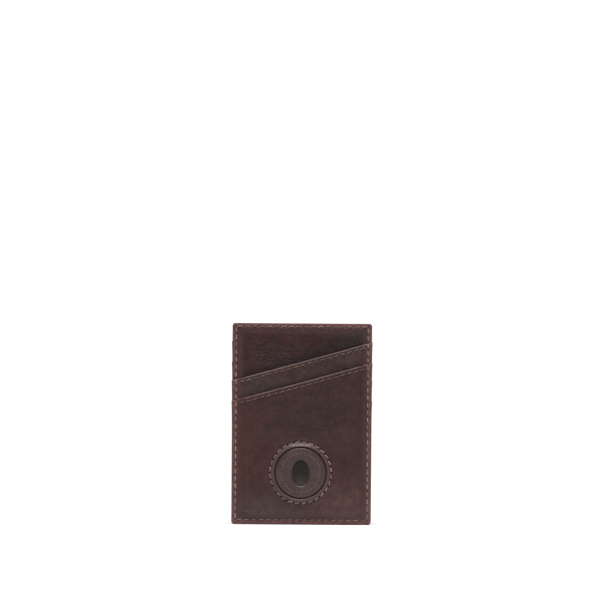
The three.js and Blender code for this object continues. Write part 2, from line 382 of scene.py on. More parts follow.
def from_world(side, points):
    turn = 1 if side == "front" else -1
    points = points / MM
    return turn * points[:, 0], points[:, 2], turn * (MID_PLANE - points[:, 1])


def steps(*marks):
    """Positions from mark to mark, given as (position, widest step from there), then the end."""
    found = []
    for (start, step), end in zip(marks, [m[0] for m in marks[1:-1]] + [marks[-1]]):
        count = max(1, math.ceil((end - start) / step - 1e-6))
        found += list(np.linspace(start, end, count, endpoint=False))
    return np.array(found + [marks[-1]])


def level(*marks):
    """Level rows, as (height, share of the mouth), the last left out."""
    return [(z, 0.0) for z in steps(*marks)[:-1]]


def fan(start, end, count):
    """Rows that swing from one line up to another, the last left out."""
    share = np.linspace(0, 1, count, endpoint=False)
    return [(start[0] + (end[0] - start[0]) * s, start[1] + (end[1] - start[1]) * s)
            for s in share]


def of_kind(made, kind):
    """The vertices or edges among what an operator made."""
    return [part for part in made["geom"] if isinstance(part, kind)]


def flat_sheet(columns, rows, pocket):
    """A flat sheet in panel millimetres with those columns, and rows up to the pocket's mouth."""
    bm = bmesh.new()
    bmesh.ops.create_grid(
        bm, x_segments=len(columns) - 1, y_segments=len(rows) - 1, size=0.5)
    rows = np.array(rows)
    for vert in bm.verts:
        column = round((vert.co.x + 0.5) * (len(columns) - 1))
        height, share = rows[round((vert.co.y + 0.5) * (len(rows) - 1))]
        x = columns[column]
        vert.co = (x, 0, height + share * mouth(pocket, x))
    return bm


WINDOW_REACH = PATCH_RADIUS + 2.0


def open_window(bm):
    """Clears a square round the medallion, and works back in from it to the round window."""
    def off_centre(point):
        return max(abs(point.x - DISC_X), abs(point.z - DISC_Z))

    inside = [f for f in bm.faces if off_centre(f.calc_center_median()) < WINDOW_REACH]
    bmesh.ops.delete(bm, geom=inside, context="FACES")
    rim = [
        e for e in bm.edges
        if e.is_boundary and max(off_centre(v.co) for v in e.verts) < WINDOW_REACH + 0.01]
    ring = PATCH_RADIUS + 1.4
    square_shares = [(share, ring) for share in (0.2, 0.4, 0.6, 0.8)]
    ring_radii = [(1.0, radius) for radius in np.linspace(ring, WINDOW_RADIUS, 17)]
    for share, radius in square_shares + ring_radii:
        made = bmesh.ops.extrude_edge_only(bm, edges=rim)
        rim = of_kind(made, bmesh.types.BMEdge)
        for vert in of_kind(made, bmesh.types.BMVert):
            way = Vector((vert.co.x - DISC_X, 0, vert.co.z - DISC_Z)).normalized()
            square = WINDOW_REACH / max(abs(way.x), abs(way.z))
            out = square * (1 - share) + radius * share
            vert.co = (DISC_X + way.x * out, 0, DISC_Z + way.z * out)


def to_shell(bm, inner, outer, rounding):
    """Gives a flat sheet two faces, a cut edge of its own material, and a rounding there."""
    made = bmesh.ops.extrude_face_region(bm, geom=bm.faces[:])
    lifted = set(of_kind(made, bmesh.types.BMVert))
    for verts, place in (
            ([v for v in bm.verts if v not in lifted], inner), (list(lifted), outer)):
        flat = np.array([v.co for v in verts])
        for vert, point in zip(verts, place(flat[:, 0], flat[:, 2])):
            vert.co = point
    walls = {f for f in bm.faces if 0 < sum(v in lifted for v in f.verts) < len(f.verts)}
    for face in walls:
        face.material_index = 1
    bmesh.ops.recalc_face_normals(bm, faces=bm.faces[:])
    rims = [e for e in bm.edges if sum(f in walls for f in e.link_faces) == 1]
    rounded = bmesh.ops.bevel(
        bm, geom=rims, offset=rounding, segments=2, profile=0.5, affect="EDGES",
        material=-1)["faces"]
    for face in rounded:
        face.material_index = 1


def to_piece(bm, name, materials, node, sharp=None):
    """Makes the finished mesh a piece that stands for a CAD node."""
    mesh = bpy.data.meshes.new(name)
    bm.to_mesh(mesh)
    bm.free()
    mesh.shade_smooth()
    if sharp:
        mesh.set_sharp_from_angle(angle=math.radians(sharp))
    for material in materials:
        mesh.materials.append(material)
    piece = bpy.data.objects.new(name, mesh)
    bpy.context.scene.collection.objects.link(piece)
    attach(piece, "root")
    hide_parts(node)
    return piece


def points_of(mesh):
    flat = np.zeros(len(mesh.vertices) * 3)
    mesh.vertices.foreach_get("co", flat)
    return flat.reshape(-1, 3)


def mark(piece, name, values):
    """Stores a share at each vertex for a material to read."""
    layer = piece.data.attributes.new(name, "FLOAT", "POINT")
    layer.data.foreach_set("value", np.asarray(values, np.float32))


# ------------------------------------------------------------------ leather panels

# The widest mesh steps along seams, over the field, and where a pocket covers the leather.
FINE, FIELD, HIDDEN = 0.28, 0.46, 0.9
# Above the foot the rows turn to the mouth's slant, and the last stretch under the lip is fine.
FOOT = 8.1
LIP_STRETCH = 3
FINE_COLUMNS = 30
LEATHER_ROUNDING = 0.14
# Where the leather is rubbed, where painted shade lies just inside the seams, and where painted
# shade lies just above the mouth of the pocket over it.
RUBBED_FULLY, RUBBED_TO = 1.2, 3.4
SEAM_SHADE_AT, SEAM_SHADE_WIDTH = 3.9, 1.5
HOLE_MARK = 0.5
MOUTH_SHADE_REACH = 5
MOUTH_SHADE_DEPTH = {"body": 1.0, "upper": 0.4}


def lip_rows():
    return fan((-LIP_STRETCH, 1), (0, 1), 13) + [(0, 1)]


def leather_rows(layer):
    """Rows up a panel: fine along its seams and its mouth, coarse where a pocket covers it."""
    if layer.pocket == "lower":
        low, high = DISC_Z - WINDOW_REACH, DISC_Z + WINDOW_REACH
        rows = level((0, FINE), (4.8, 0.4), (low, 0.43), high)
        return rows + fan((high, 0), (-LIP_STRETCH, 1), 62) + lip_rows()
    if layer.pocket == "upper":
        rows = level((0, HIDDEN), FOOT)
        rows += fan((FOOT, 0), (-13.5, 1), 25)
        return rows + fan((-13.5, 1), (-LIP_STRETCH, 1), 24) + lip_rows()
    rows = level((0, HIDDEN), FOOT)
    rows += fan((FOOT, 0), (-4, 1), 28)
    rows += fan((-4, 1), (HEIGHT - LIP_STRETCH, 0), 68)
    return rows + level((HEIGHT - LIP_STRETCH, 0.23), HEIGHT) + [(HEIGHT, 0)]


def make_leather(side, name, seed, materials):
    """One formed panel, with the shares that its leather reads for colour and gloss."""
    layer = Layer(side, name, seed)
    if layer.window:
        low, high = DISC_X - WINDOW_REACH, DISC_X + WINDOW_REACH
        columns = steps(
            (-HALF_WIDTH, FINE), (-FINE_COLUMNS, FIELD), (low, 0.43), (high, FIELD),
            (FINE_COLUMNS, FINE), HALF_WIDTH)
    else:
        columns = steps(
            (-HALF_WIDTH, FINE), (-FINE_COLUMNS, FIELD), (FINE_COLUMNS, FINE), HALF_WIDTH)
    bm = flat_sheet(columns, leather_rows(layer), "lower" if name == "lower" else "upper")
    if layer.window:
        open_window(bm)

    def placed(face):
        def place(x, z):
            depth = face(x, z)
            return to_world(side, *layer.outline(x, z), depth)
        return place

    to_shell(bm, placed(layer.inner), placed(layer.outer), LEATHER_ROUNDING * MM)
    piece = to_piece(bm, f"{side}_{name}_leather", materials, layer.node, 50)
    x, z, _ = from_world(side, points_of(piece.data))
    mark(piece, "margin", 1 - smooth(edge_distance(x, z), RUBBED_FULLY, RUBBED_TO))
    # Painted shade in a band just inside the seams, at the foot of the leather's rise.
    mark(piece, "painted_seam_shade", bump(edge_distance(x, z) - SEAM_SHADE_AT, SEAM_SHADE_WIDTH))
    # Where the needle holes are, for their painted shade and their roughness.
    mark(piece, "hole", near_holes(x, z, layer.holes(), HOLE_MARK))
    mark(piece, "lip", bump(np.maximum(layer.below_top(x, z), 0), LIP_WIDTH))
    # Painted shade on the panel just above the mouth of the pocket over it.
    painted_mouth_shade = np.zeros_like(x)
    if name in COVER_OF:
        over_mouth = np.maximum(z - mouth(COVER_OF[name], x), 0)
        painted_mouth_shade = MOUTH_SHADE_DEPTH[name] * bump(over_mouth, MOUTH_SHADE_REACH)
    mark(piece, "painted_mouth_shade", painted_mouth_shade)
    ring = np.zeros_like(x)
    if layer.window:
        ring = 1 - smooth(window_distance(x, z), WINDOW_SEAM - 0.6, WINDOW_SEAM + 0.2)
    mark(piece, "ring", ring)


# ------------------------------------------------------------------ linings

LINING_ROUNDING = 0.04
# The cloth stops short of the leather at its sides and foot, and under each kind of top.
LINING_INSET = 0.1
LINING_BELOW_TOP = 0.05
LINING_BELOW_MOUTH = 0.15


def make_lining(side, name, seed, material):
    """A thin woven lining, cut with its leather and stretched flat behind it."""
    layer = Layer(side, name, seed)
    columns = steps((-HALF_WIDTH, 0.7), (-27, 3), (27, 0.7), HALF_WIDTH)
    if layer.pocket == "body":
        top = HEIGHT - LINING_BELOW_TOP
        rows = level((0, HIDDEN), (10, 3), top) + [(top, 0)]
    else:
        top = (-LINING_BELOW_MOUTH, 1)
        rows = level((0, HIDDEN), 10) + fan((10, 0), top, 26) + [top]
    bm = flat_sheet(columns, rows, "lower" if layer.pocket == "lower" else "upper")
    cut_area = sum(face.calc_area() for face in bm.faces) * MM * MM

    def placed(face):
        def place(x, z):
            depth = layer.lie(face, x, z)
            across, up = layer.outline(x, z)
            across = across * (1 - LINING_INSET / HALF_WIDTH)
            return to_world(side, across, np.maximum(up, LINING_INSET), depth)
        return place

    to_shell(bm, placed(0), placed(1), LINING_ROUNDING * MM)
    piece = to_piece(
        bm, f"{side}_{name}", [material, material], layer.node, 50)


# ------------------------------------------------------------------ stitches

THREAD_RADIUS = 0.27
THREAD_SIDES = 6
# Stitches near the foot are painted paler: painted light on the row that the pocket above shades.
FOOT_PAINTED_LIGHT, FOOT_PAINTED_LIGHT_REACH = 0.7, 3
# Along a stitch from hole to hole: share of its length, height above the leather, thickness.
STITCH_SHAPE = [
    (0.11, -0.45, 0.6), (0.155, -0.08, 0.85), (0.27, 0.13, 1.02), (0.5, 0.19, 1.1),
    (0.73, 0.13, 1.02), (0.845, -0.08, 0.85), (0.89, -0.45, 0.6),
]


def stitch_template():
    """One stitch of unit length: x along it, y up out of the leather, z across."""
    bm = bmesh.new()
    bmesh.ops.create_circle(
        bm, cap_ends=True, segments=THREAD_SIDES, radius=THREAD_RADIUS * STITCH_SHAPE[0][2])
    bmesh.ops.rotate(bm, verts=bm.verts[:], matrix=Matrix.Rotation(math.pi / 2, 3, "Y"))
    bmesh.ops.translate(bm, verts=bm.verts[:], vec=(*STITCH_SHAPE[0][:2], 0))
    end = bm.faces[:][0]
    for (x, y, size), (next_x, next_y, next_size) in zip(STITCH_SHAPE, STITCH_SHAPE[1:]):
        [end] = of_kind(
            bmesh.ops.extrude_face_region(bm, geom=[end]), bmesh.types.BMFace)
        grow = next_size / size
        bmesh.ops.scale(
            bm, verts=end.verts[:], vec=(1, grow, grow),
            space=Matrix.Translation((-x, -y, 0)))
        bmesh.ops.translate(bm, verts=end.verts[:], vec=(next_x - x, next_y - y, 0))
    bmesh.ops.recalc_face_normals(bm, faces=bm.faces[:])
    mesh = bpy.data.meshes.new("stitch")
    bm.to_mesh(mesh)
    bm.free()
    return mesh


def top_surface(side, layers, x, z):
    """The depth of whatever leather shows at each point."""
    depth = layers["body"].outer(x, z, holed=False)
    for name in ("upper", "lower"):
        over = layers[name].outer(x, z, holed=False)
        depth = np.where(z < mouth(name, x), over, depth)
    return depth


def pulled_tight(depth):
    """The line of a thread drawn tight over a row of points of the surface."""
    line = depth.copy()
    count = len(depth)
    for i in range(count):
        for j in range(i + 1, count):
            chord = np.linspace(depth[i], depth[j], j - i + 1)
            line[i:j + 1] = np.maximum(line[i:j + 1], chord)
    return line


def make_seam(
        name, node, side, layers, holes, template, material, draw, pale=1.0, leans=0.16):
    """A row of stitches from hole to hole, over whatever leather lies between them.

    They are painted paler towards the wallet's foot, as painted light on the row that the pocket
    above shades, and each leans across its seam."""
    along, up, across = points_of(template).T
    heights = np.interp(along, [s[0] for s in STITCH_SHAPE], [s[1] for s in STITCH_SHAPE])
    turn = np.arctan2(across, up - heights)
    samples = np.linspace(0, 1, 21)
    bm = bmesh.new()
    marks = []
    for start, end in zip(holes, holes[1:]):
        run = end - start
        length = np.hypot(*run)
        aside = np.array([-run[1], run[0]]) / length
        line = start + samples[:, None] * run
        depth = pulled_tight(top_surface(side, layers, line[:, 0], line[:, 1]))
        lean = leans * draw.uniform(0.6, 1.4)
        sway = draw.uniform(-0.05, 0.05)
        lift = draw.uniform(0.9, 1.15)
        offset = across + lean * (2 * along - 1) + sway
        flat = start + along[:, None] * run + offset[:, None] * aside
        height = np.interp(along, samples, depth) + np.where(up > 0, up * lift, up)
        first = len(bm.verts)
        bm.from_mesh(template)
        bm.verts.ensure_lookup_table()
        placed = to_world(side, flat[:, 0], flat[:, 1], height)
        for vert, point in zip(bm.verts[first:], placed):
            vert.co = point
        # Painted light on the stitches near the foot.
        rub_and_foot_light = 1 + FOOT_PAINTED_LIGHT * bump(min(start[1], end[1]) - BOTTOM_SEAM, FOOT_PAINTED_LIGHT_REACH)
        tone = pale * rub_and_foot_light * draw.uniform(0.3, 1)
        marks += [(math.cos(t), math.sin(t), a * length, tone) for t, a in zip(turn, along)]
    bmesh.ops.recalc_face_normals(bm, faces=bm.faces[:])
    piece = to_piece(bm, name, [material], node)
    for column, share in zip(np.array(marks).T, ("ply_x", "ply_y", "ply_run", "tone")):
        mark(piece, share, column)


# ------------------------------------------------------------------ the medallion

DISC_SEGMENTS = 192
RECESS_DEPTH = 0.45
inlay_low, inlay_high = corners("medallion_inlay")
INLAY_HALF_WIDTH = (inlay_high.x - inlay_low.x) / 2
INLAY_HALF_HEIGHT = (inlay_high.z - inlay_low.z) / 2
INLAY_GAP = 0.3
DOTS = 32
DOT_RING = 9.7
DOT_HEIGHT, DOT_WIDTH = 0.24, 0.36
DOTS_FROM = 0.1
PLATE_CROWN = 0.06


def disc_profile():
    """Rings of the disc outwards from its recess: share from oval to rim, and depth."""
    front = DISC_FRONT
    rings = [(0.03, front - 0.34), (0.06, front - 0.18), (0.08, front - 0.05)]
    rings += [(0.095, front + 0.03), (0.11, front + 0.06), (0.13, front + 0.03)]
    rings += [(share, front) for share in np.linspace(0.15, 0.8, 36)]
    bevel = [(0.82, 0.01), (0.84, 0.04), (0.86, 0.08), (0.88, 0.14), (0.91, 0.24),
             (0.94, 0.35), (0.965, 0.45), (0.985, 0.55), (0.996, 0.67), (1.0, 0.75)]
    rings += [(share, front - drop) for share, drop in bevel]
    rings += [(1.0, DISC_BACK + 0.05), (0.996, DISC_BACK)]
    return rings


def make_disc(material):
    """The disc, drawn out ring by ring from its oval recess to its bevelled rim."""
    bm = bmesh.new()
    bmesh.ops.create_circle(bm, cap_ends=True, segments=DISC_SEGMENTS, radius=1)
    turns = {v: math.atan2(v.co.y, v.co.x) for v in bm.verts}
    oval = (INLAY_HALF_WIDTH + INLAY_GAP, INLAY_HALF_HEIGHT + INLAY_GAP)

    def ring_point(turn, share, depth):
        across = math.cos(turn) * (oval[0] * (1 - share) + DISC_RADIUS * share)
        up = math.sin(turn) * (oval[1] * (1 - share) + DISC_RADIUS * share)
        off_ring = math.hypot(across, up) - DOT_RING
        phase = math.remainder(math.atan2(up, across), 2 * math.pi / DOTS) * DOT_RING
        if share > DOTS_FROM:
            depth += DOT_HEIGHT * math.exp(-(off_ring ** 2 + phase ** 2) / DOT_WIDTH ** 2)
        return to_world("front", DISC_X + across, DISC_Z + up, depth)[0]

    for vert, turn in turns.items():
        vert.co = ring_point(turn, 0, DISC_FRONT - RECESS_DEPTH)
    rim = bm.edges[:]
    for share, depth in disc_profile():
        starts = {v: turns[v] for e in rim for v in e.verts}
        made = bmesh.ops.extrude_edge_only(bm, edges=rim)
        rim = of_kind(made, bmesh.types.BMEdge)
        for vert in of_kind(made, bmesh.types.BMVert):
            source = next(
                e.other_vert(vert) for e in vert.link_edges if e.other_vert(vert) in starts)
            turns[vert] = starts[source]
            vert.co = ring_point(turns[vert], share, depth)
    bmesh.ops.holes_fill(bm, edges=rim, sides=0)
    bmesh.ops.recalc_face_normals(bm, faces=bm.faces[:])
    piece = to_piece(
        bm, "medallion_disc_leather", [material], "medallion_disc", 60)
    x, z, depth = from_world("front", points_of(piece.data))
    mark(piece, "proud", smooth(depth, DISC_FRONT + 0.02, DISC_FRONT + 0.2))
    mark(piece, "rim", smooth(window_distance(x, z), DISC_RADIUS - 1.2, DISC_RADIUS - 0.3))


def make_inlay(material):
    """The smooth oval plate sunk in the disc."""
    bm = bmesh.new()
    bmesh.ops.create_circle(bm, cap_ends=True, segments=96, radius=1)
    for vert in bm.verts:
        vert.co = (
            (DISC_X + vert.co.x * INLAY_HALF_WIDTH) * MM, inlay_high.y * MM,
            (DISC_Z + vert.co.y * INLAY_HALF_HEIGHT) * MM)
    [top] = of_kind(
        bmesh.ops.extrude_face_region(bm, geom=bm.faces[:]), bmesh.types.BMFace)
    bmesh.ops.translate(
        bm, verts=top.verts[:], vec=(0, (inlay_low.y - inlay_high.y + PLATE_CROWN) * MM, 0))
    for inset, rise in ((0.12, 0.05), (0.5, 0.03), (1.0, 0.02), (1.2, 0.01)):
        bmesh.ops.inset_region(bm, faces=[top], thickness=inset * MM, use_even_offset=True)
        bmesh.ops.translate(bm, verts=top.verts[:], vec=(0, -rise * MM, 0))
    bmesh.ops.recalc_face_normals(bm, faces=bm.faces[:])
    to_piece(bm, "medallion_oval", [material], "medallion_inlay", 40)


# ------------------------------------------------------------------ materials

def feed(tree, socket, value):
    """Gives a socket a plain value or another node's output."""
    if isinstance(value, bpy.types.NodeSocket):
        tree.links.new(value, socket)
    else:
        socket.default_value = value


def add(tree, kind, inputs=(), **settings):
    node = tree.nodes.new(kind)
    for name, value in settings.items():
        setattr(node, name, value)
    for name, value in dict(inputs).items():
        feed(tree, node.inputs[name], value)
    return node


def new_material(name):
    material = bpy.data.materials.new(name)
    material.use_nodes = True
    tree = material.node_tree
    return material, tree, tree.nodes["Principled BSDF"]


def millimetres(tree, stretch=(1, 1, 1), turn=(0, 0, 0), shift=(0, 0, 0)):
    """The piece's own place in millimetres, stretched or turned for a pattern."""
    place = add(tree, "ShaderNodeTexCoord").outputs["Object"]
    scale = tuple(s / MM for s in stretch)
    return add(tree, "ShaderNodeMapping", {
        "Vector": place, "Scale": scale, "Rotation": turn, "Location": shift,
    }).outputs["Vector"]


def noise(tree, place, scale, detail=3.0, roughness=0.55, distortion=0.0):
    return add(tree, "ShaderNodeTexNoise", {
        "Vector": place, "Scale": scale, "Detail": detail, "Roughness": roughness,
        "Distortion": distortion,
    }).outputs["Fac"]


def between(tree, value, low, high, start=0.0, end=1.0):
    """Runs smoothly from start to end as the value goes from low to high, and stops there."""
    return add(tree, "ShaderNodeMapRange", {
        "Value": value, "From Min": low, "From Max": high, "To Min": start, "To Max": end,
    }, interpolation_type="SMOOTHSTEP").outputs["Result"]


def sums(tree, how, a, b=0.0):
    """One value, or two together, put through a Math node."""
    node = add(tree, "ShaderNodeMath", operation=how)
    for socket, value in zip(node.inputs, (a, b)):
        feed(tree, socket, value)
    return node.outputs["Value"]


def tint(tree, share, under, over, how="MIX"):
    """Lays one colour over another by a share. A Mix node's colour sockets have only numbers."""
    node = add(tree, "ShaderNodeMix", data_type="RGBA", blend_type=how)
    for number, value in ((0, share), (6, under), (7, over)):
        feed(tree, node.inputs[number], value)
    return node.outputs[2]


def share_of(tree, name):
    return add(tree, "ShaderNodeAttribute", attribute_name=name).outputs["Fac"]


def raised(tree, height, strength, distance, normal=None):
    """The normal of a surface raised by a height, or sunk by it for a negative strength."""
    inputs = {"Height": height, "Strength": abs(strength), "Distance": distance * MM}
    if normal:
        inputs["Normal"] = normal
    return add(tree, "ShaderNodeBump", inputs, invert=strength < 0).outputs["Normal"]


def spot(tree, centre, reach):
    """1 at a place on the wallet in millimetres, fading to 0 at that reach."""
    place = millimetres(tree)
    offset = add(tree, "ShaderNodeVectorMath", {0: place, 1: centre}, operation="SUBTRACT")
    squash = add(
        tree, "ShaderNodeVectorMath", {0: offset.outputs[0], 1: tuple(1 / r for r in reach)},
        operation="MULTIPLY")
    length = add(tree, "ShaderNodeVectorMath", {0: squash.outputs[0]}, operation="LENGTH")
    return between(tree, length.outputs["Value"], 1.0, 0.0)


def grain(tree, strength=1.0):
    """Fine hide grain: little pebbles with creases between them, pores and a close tooth.

    Gives the depth of its creases, for their painted shade, and the normal."""
    place = millimetres(tree)
    wander = add(tree, "ShaderNodeTexNoise", {"Vector": place, "Scale": 0.9, "Detail": 3.0})
    astray = add(
        tree, "ShaderNodeVectorMath", {0: place, 1: wander.outputs["Color"]}, operation="ADD")
    pebble = add(tree, "ShaderNodeTexVoronoi", {
        "Vector": astray.outputs[0], "Scale": 1.35, "Randomness": 1.0,
    }, feature="DISTANCE_TO_EDGE").outputs["Distance"]
    tops = between(tree, pebble, 0.0, 0.2)
    uneven = between(tree, noise(tree, place, 0.22, 3.0), 0.35, 0.65, 0.4, 1.0)
    depth = sums(tree, "MULTIPLY", sums(tree, "SUBTRACT", 1.0, tops), uneven)
    tooth = noise(tree, place, 3.4, 5.0, 0.65)
    pore_cells = add(tree, "ShaderNodeTexVoronoi", {
        "Vector": place, "Scale": 1.9, "Randomness": 1.0}).outputs["Distance"]
    pores = between(tree, pore_cells, 0.02, 0.16)
    normal = raised(tree, depth, -0.7 * strength, 0.10)
    normal = raised(tree, tooth, 0.6 * strength, 0.16, normal)
    normal = raised(tree, pores, 0.5 * strength, 0.09, normal)
    return depth, normal


# The leather's colour where it is scratched or rubbed, its painted shade just inside the seams
# and in the needle holes, and its paler lips, partly wear and partly a painted highlight.
SCRATCHED = (0.12, 0.075, 0.065, 1)
SEAM_SHADE_COLOUR = (0.074, 0.036, 0.031, 1)
RUBBED_MARGIN = (0.142, 0.060, 0.058, 1)
RUBBED_RING = (0.098, 0.060, 0.056, 1)
LIP_WEAR_AND_HIGHLIGHT = (0.17, 0.073, 0.058, 1)
HOLE_SHADE_COLOUR = (0.004, 0.002, 0.002, 1)
# A painted highlight on the top of the window's rim.
RIM_HIGHLIGHT_COLOUR = (0.46, 0.36, 0.34, 1)


def pull_up_leather(name, deep, warm, grey, patches, creased):
    """Waxed leather that pales where it is pulled and reddens at its edges, with painted shade in
    its needle holes, in its creases, just inside its seams and just above the mouth of the pocket
    over it, and paler lips that are partly wear and partly a painted highlight.

    Patches are (centre, reach, colour, strength), and creased is the strength and place of
    fine creases across the panel."""
    material, tree, leather = new_material(name)
    place = millimetres(tree)
    clouds = noise(tree, place, 0.055, 4.0, 0.6, 0.6)
    colour = tint(tree, between(tree, clouds, 0.36, 0.66), deep, warm)
    pulled = noise(
        tree, millimetres(tree, (0.7, 1, 1.2), shift=(31, 7, 12)), 0.085, 5.0, 0.62, 0.9)
    colour = tint(tree, between(tree, pulled, 0.45, 0.75, 0.0, 0.5), colour, grey)
    for centre, reach, patch, strength in patches:
        share = sums(tree, "MULTIPLY", spot(tree, centre, reach), strength)
        colour = tint(tree, share, colour, patch)
    mottle = noise(tree, place, 0.3, 6.0, 0.72, 0.4)
    colour = tint(
        tree, 1.0, colour, combine(tree, between(tree, mottle, 0.38, 0.62, 0.8, 1.19)),
        "MULTIPLY")
    # Painted shade just above the mouth of the pocket in front.
    painted_mouth_shade = between(tree, share_of(tree, "painted_mouth_shade"), 0.0, 1.0, 1.0, 0.6)
    colour = tint(tree, 1.0, colour, combine(tree, painted_mouth_shade), "MULTIPLY")
    scratches = noise(tree, millimetres(tree, (0.5, 1, 1), turn=(0, 0.5, 0)), 0.16, 2.0, 0.5, 1.8)
    thin = between(
        tree, sums(tree, "ABSOLUTE", sums(tree, "SUBTRACT", scratches, 0.5)), 0.004, 0.0)
    worn = between(tree, noise(tree, place, 0.12, 2.0), 0.5, 0.62, 0.0, 0.35)
    colour = tint(tree, sums(tree, "MULTIPLY", thin, worn), colour, SCRATCHED)
    creases_deep, normal = grain(tree)
    # Painted shade in the grain's creases, with the pebble tops a little lighter.
    colour = tint(
        tree, 1.0, colour, combine(tree, between(tree, creases_deep, 0.0, 1.0, 1.06, 0.7)),
        "MULTIPLY")
    crease_strength, crease_centre, crease_reach = creased
    streaks = noise(tree, millimetres(tree, (0.13, 1, 0.85)), 1.0, 4.0, 0.6, 0.5)
    crease = between(tree, streaks, 0.46, 0.6)
    crease = sums(tree, "MULTIPLY", crease, spot(tree, crease_centre, crease_reach))
    # Painted shade in the fine creases, besides their bump.
    shade = between(tree, crease, 0.0, 1.0, 1.1, 1.1 - 0.7 * crease_strength)
    colour = tint(tree, 1.0, colour, combine(tree, shade), "MULTIPLY")
    # Painted shade in a band just inside the seams.
    colour = tint(
        tree, sums(tree, "MULTIPLY", share_of(tree, "painted_seam_shade"), 0.5), colour,
        SEAM_SHADE_COLOUR)
    rub_and_foot_light = between(tree, noise(tree, place, 0.35, 4.0, 0.6), 0.3, 0.7, 0.45, 1.0)
    colour = tint(
        tree, sums(tree, "MULTIPLY", share_of(tree, "margin"), rub_and_foot_light), colour,
        RUBBED_MARGIN)
    colour = tint(
        tree, sums(tree, "MULTIPLY", share_of(tree, "ring"), 0.6), colour,
        RUBBED_RING)
    # Paler lips: partly wear, partly a painted highlight where the top edge catches the light.
    colour = tint(
        tree, sums(tree, "MULTIPLY", share_of(tree, "lip"), 0.5), colour,
        LIP_WEAR_AND_HIGHLIGHT)
    # Painted shade in the needle holes, which the mesh only dimples.
    colour = tint(
        tree, between(tree, share_of(tree, "hole"), 0.15, 0.7), colour,
        HOLE_SHADE_COLOUR)
    tree.links.new(colour, leather.inputs["Base Color"])
    shine = between(tree, noise(tree, place, 0.3, 4.0, 0.6), 0.3, 0.7, 0.33, 0.48)
    shine = sums(tree, "ADD", shine, between(tree, share_of(tree, "hole"), 0.2, 0.7, 0.0, 0.5))
    tree.links.new(shine, leather.inputs["Roughness"])
    leather.inputs["Specular IOR Level"].default_value = 0.28
    normal = raised(tree, crease, -crease_strength, 0.16, normal)
    tree.links.new(normal, leather.inputs["Normal"])
    return material


def combine(tree, value):
    """A value as a grey, to multiply a colour by."""
    node = add(tree, "ShaderNodeCombineColor")
    for socket in list(node.inputs)[:3]:
        tree.links.new(value, socket)
    return node.outputs["Color"]


def cover_leather():
    """The full-height panels: dark, reddish on the left, finely creased across."""
    return pull_up_leather(
        "cover_leather", (0.028, 0.0085, 0.0075, 1), (0.038, 0.0105, 0.0095, 1),
        (0.032, 0.015, 0.0125, 1),
        [((-26, -1, 84), (24, 5, 18), (0.038, 0.0085, 0.0085, 1), 0.8),
         ((28, -1, 95), (18, 5, 13), (0.024, 0.018, 0.015, 1), 0.8)],
        (0.8, (-16, -1, 84), (34, 9, 20)))


def upper_pocket_leather():
    """The upper pockets: greyer, paling where the hide is pulled."""
    return pull_up_leather(
        "upper_pocket_leather", (0.039, 0.018, 0.015, 1), (0.051, 0.023, 0.019, 1),
        (0.049, 0.030, 0.025, 1),
        [((-20, -3, 70), (20, 5, 9), (0.040, 0.027, 0.024, 1), 0.6)],
        (0.35, (10, -3, 78), (40, 9, 20)))


def lower_pocket_leather():
    """The lower pockets: warm on the left, paler and greyer towards the foot as a painted
    reflection of the floor, with a painted highlight on the top of the window's rim.
    """
    return pull_up_leather(
        "lower_pocket_leather", (0.032, 0.0125, 0.0105, 1), (0.045, 0.0155, 0.0135, 1),
        (0.046, 0.023, 0.020, 1),
        [((-30, -5, 38), (16, 6, 26), (0.056, 0.018, 0.013, 1), 0.6),
         # Paler, greyer patches towards the foot: a painted reflection of the floor.
         ((-18, -5, 6), (32, 6, 15), (0.058, 0.035, 0.032, 1), 0.85),
         ((22, -5, 8), (28, 6, 22), (0.074, 0.037, 0.034, 1), 0.85),
         ((8, -5, 58), (36, 6, 24), (0.030, 0.0135, 0.0115, 1), 0.7),
         # A painted highlight across the top of the window's rim.
         ((DISC_X, -5, DISC_Z + WINDOW_RADIUS + 0.6), (9, 6, 1.5), RIM_HIGHLIGHT_COLOUR, 0.9)],
        (0.4, (6, -5, 48), (30, 9, 22)))


def painted_edge():
    """Cut edges, painted and burnished, with the fibres just showing through."""
    material, tree, edge = new_material("painted_edge")
    fibres = noise(tree, millimetres(tree, (1, 3, 1)), 1.6, 4.0, 0.65)
    colour = tint(
        tree, between(tree, fibres, 0.35, 0.7), (0.045, 0.014, 0.013, 1),
        (0.10, 0.04, 0.035, 1))
    tree.links.new(colour, edge.inputs["Base Color"])
    edge.inputs["Roughness"].default_value = 0.5
    tree.links.new(raised(tree, fibres, 0.4, 0.08), edge.inputs["Normal"])
    return material


def medallion_leather():
    """Firm leather, pressed with a die, darker in the hollows."""
    material, tree, leather = new_material("medallion_leather")
    place = millimetres(tree)
    patches = noise(tree, place, 0.25, 4.0, 0.6, 0.5)
    colour = tint(
        tree, between(tree, patches, 0.35, 0.68), (0.042, 0.022, 0.020, 1),
        (0.064, 0.034, 0.031, 1))
    colour = tint(
        tree, sums(tree, "MULTIPLY", share_of(tree, "proud"), 0.7), colour,
        (0.15, 0.095, 0.088, 1))
    colour = tint(
        tree, sums(tree, "MULTIPLY", share_of(tree, "rim"), 0.4), colour,
        (0.10, 0.058, 0.053, 1))
    tree.links.new(colour, leather.inputs["Base Color"])
    leather.inputs["Roughness"].default_value = 0.34
    leather.inputs["Specular IOR Level"].default_value = 0.45
    tree.links.new(grain(tree, 0.7)[1], leather.inputs["Normal"])
    return material


